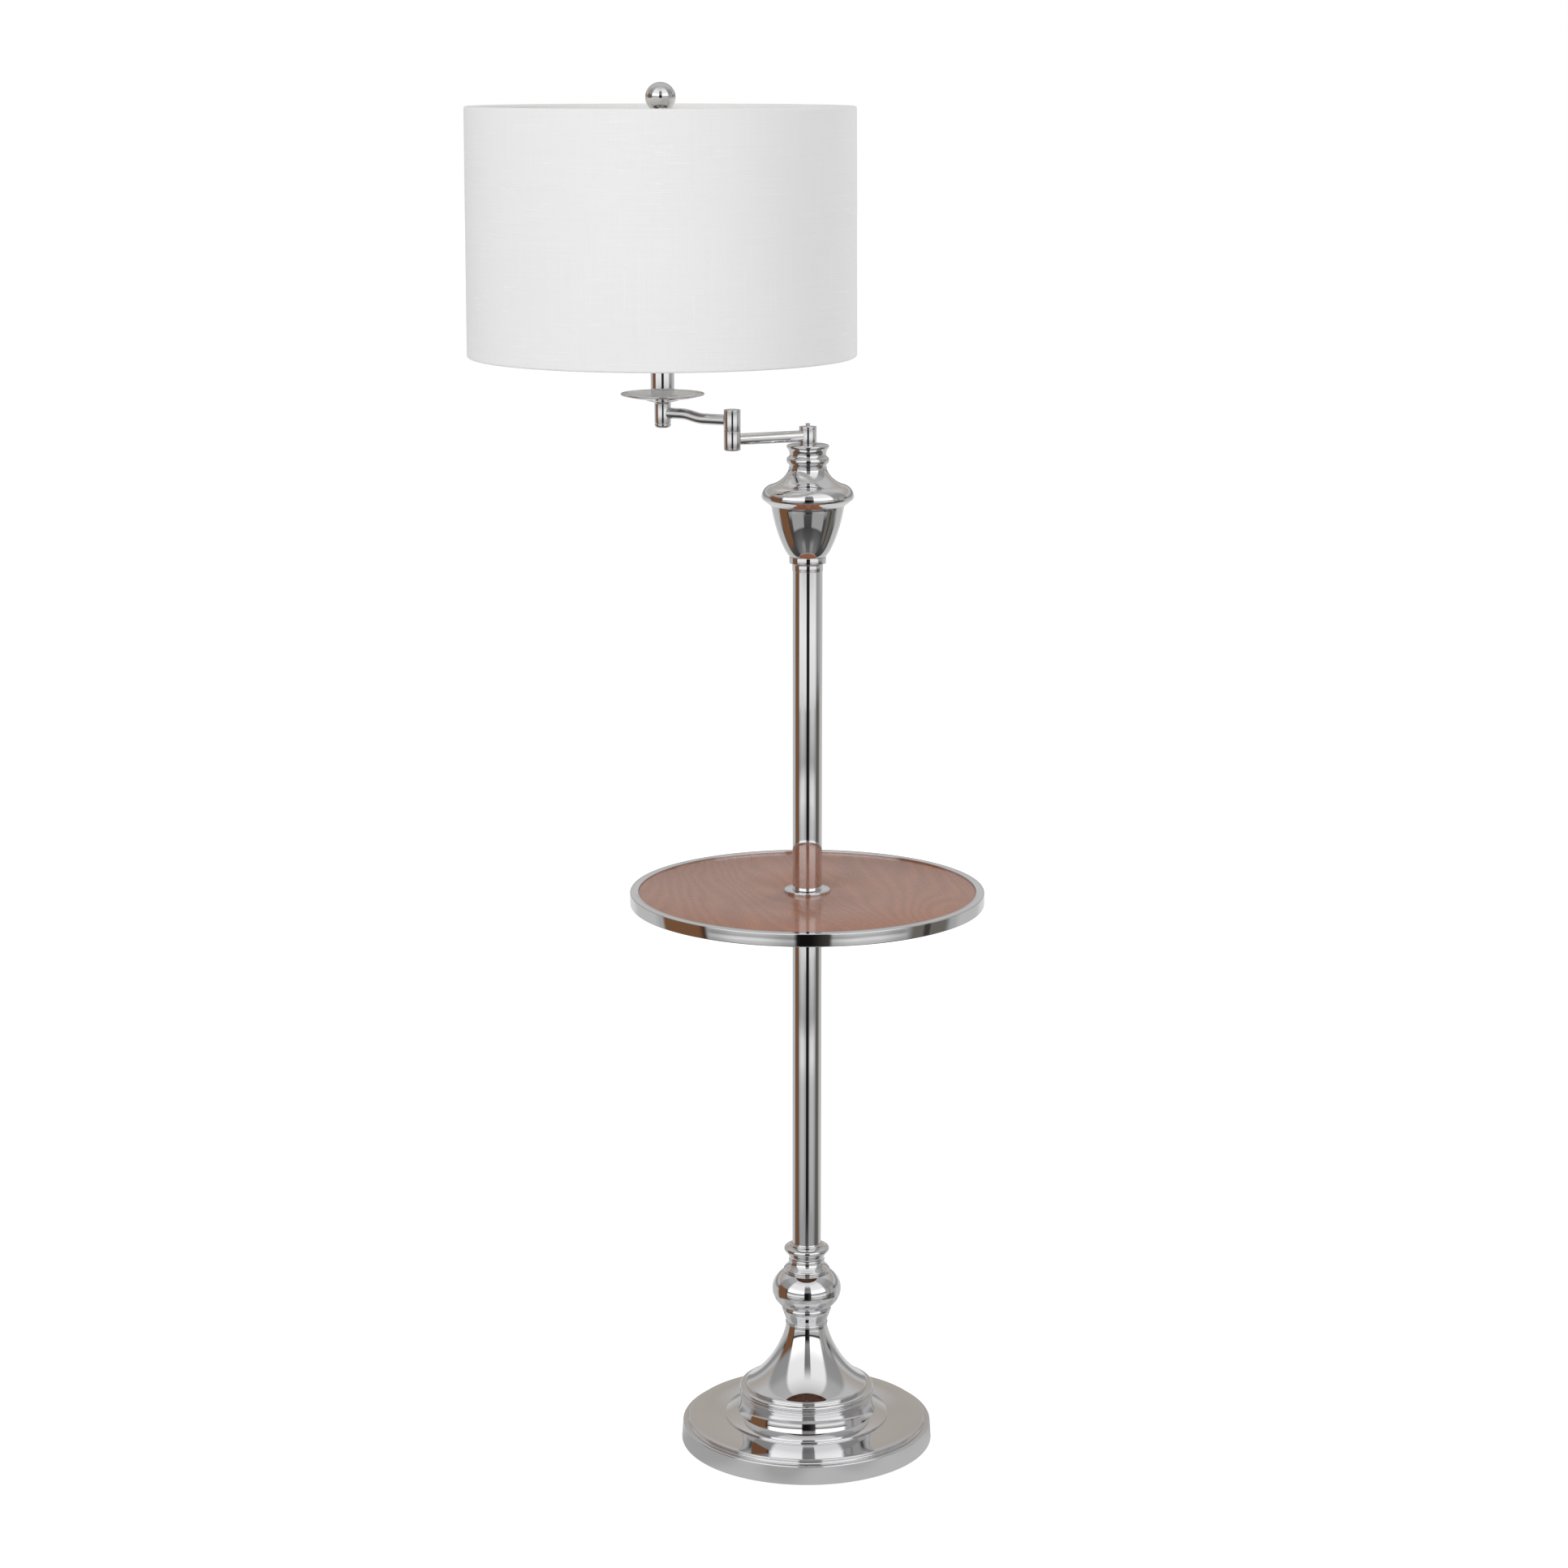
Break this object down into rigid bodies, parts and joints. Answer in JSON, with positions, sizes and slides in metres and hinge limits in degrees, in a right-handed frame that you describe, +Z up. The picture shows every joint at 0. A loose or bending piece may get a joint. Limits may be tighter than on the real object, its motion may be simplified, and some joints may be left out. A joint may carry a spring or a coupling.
{
  "type": "floor lamp with table",
  "caption": "Floor lamp on a weighted round base, with a round table on its pole and a double swing arm that carries a fabric drum shade.",
  "frame": {"origin": "on the floor, on the axis of the pole, at the middle of the base's felt pad", "axes": "+Z up the pole, the lamp's head lies towards -X, the cord outlet faces +Y"},
  "size_m": [0.5464, 0.407, 1.4802],
  "materials": {
    "chrome": "polished chrome plate, mirror bright",
    "nickel": "satin nickel plate",
    "brass": "plain brass, unplated",
    "steel": "zinc plated steel",
    "iron": "black dipped casting",
    "felt": "dark felt",
    "rubber": "matt black rubber",
    "wood": "satin lacquered reddish brown veneer",
    "wire": "plastic insulated wire",
    "phenolic": "moulded black plastic",
    "bulb_glass": "frosted white glass",
    "linen": "white slubbed linen",
    "lining": "matt white styrene lining"
  },
  "bodies": {
    "stand": {"felt_pad": "felt", "base_weight": "iron", "base_plate": "chrome", "base_nut": "brass", "base_pipe": "steel", "cord_grommet": "rubber", "base_step": "chrome", "base_drum": "chrome", "base_flare": "chrome", "stem_taper": "chrome", "stem_ball": "chrome", "stem_cap": "chrome", "tube_plugs": "steel", "lower_tube": "chrome", "table_bracket": "steel", "table_screws": "steel", "table_board": "wood", "table_rim": "chrome", "table_flange": "chrome", "table_pipe": "steel", "upper_tube": "chrome", "urn_collar": "chrome", "urn_bowl": "chrome", "urn_bell": "chrome", "urn_crown": "chrome", "urn_pipe": "steel", "pivot_nut": "brass", "pole_wire": "wire"},
    "lower_arm": {"shoulder_hub": "chrome", "shoulder_cap": "chrome", "lower_arm_tube": "chrome", "elbow_socket": "chrome", "elbow_foot": "chrome", "elbow_pivot": "brass", "lower_arm_wire": "wire"},
    "upper_arm": {"elbow_barrel": "chrome", "elbow_cap": "chrome", "upper_arm_tube": "chrome", "head_stem": "chrome", "stem_tip": "chrome", "head_pipe": "steel", "drip_cup": "chrome", "drip_pan": "chrome", "neck_tube": "chrome", "harp_saddle": "nickel", "harp": "nickel", "socket_cap": "nickel", "socket_shell": "nickel", "socket_body": "phenolic", "screw_shell": "brass", "bulb_cap": "nickel", "bulb": "bulb_glass", "shade_spider": "nickel", "shade_ring": "nickel", "shade_cloth": "linen", "shade_lining": "lining", "finial": "chrome", "upper_arm_wire": "wire"},
    "switch": {"switch_knob": "nickel"}
  },
  "joints": [
    {"name": "shoulder_swing", "type": "hinge", "parent": "stand", "child": "lower_arm", "pos_m": [0, 0, 1.1081], "axis": [0, 0, 1], "range_deg": [-150, 150]},
    {"name": "elbow_swing", "type": "hinge", "parent": "lower_arm", "child": "upper_arm", "pos_m": [-0.07878, -0.03692, 1.1257], "axis": [0, 0, 1], "range_deg": [-98, 202]},
    {"name": "switch_turn", "type": "hinge", "parent": "upper_arm", "child": "switch", "pos_m": [-0.152, -0.02, 1.2352], "axis": [0, -1, 0], "continuous": true}
  ]
}
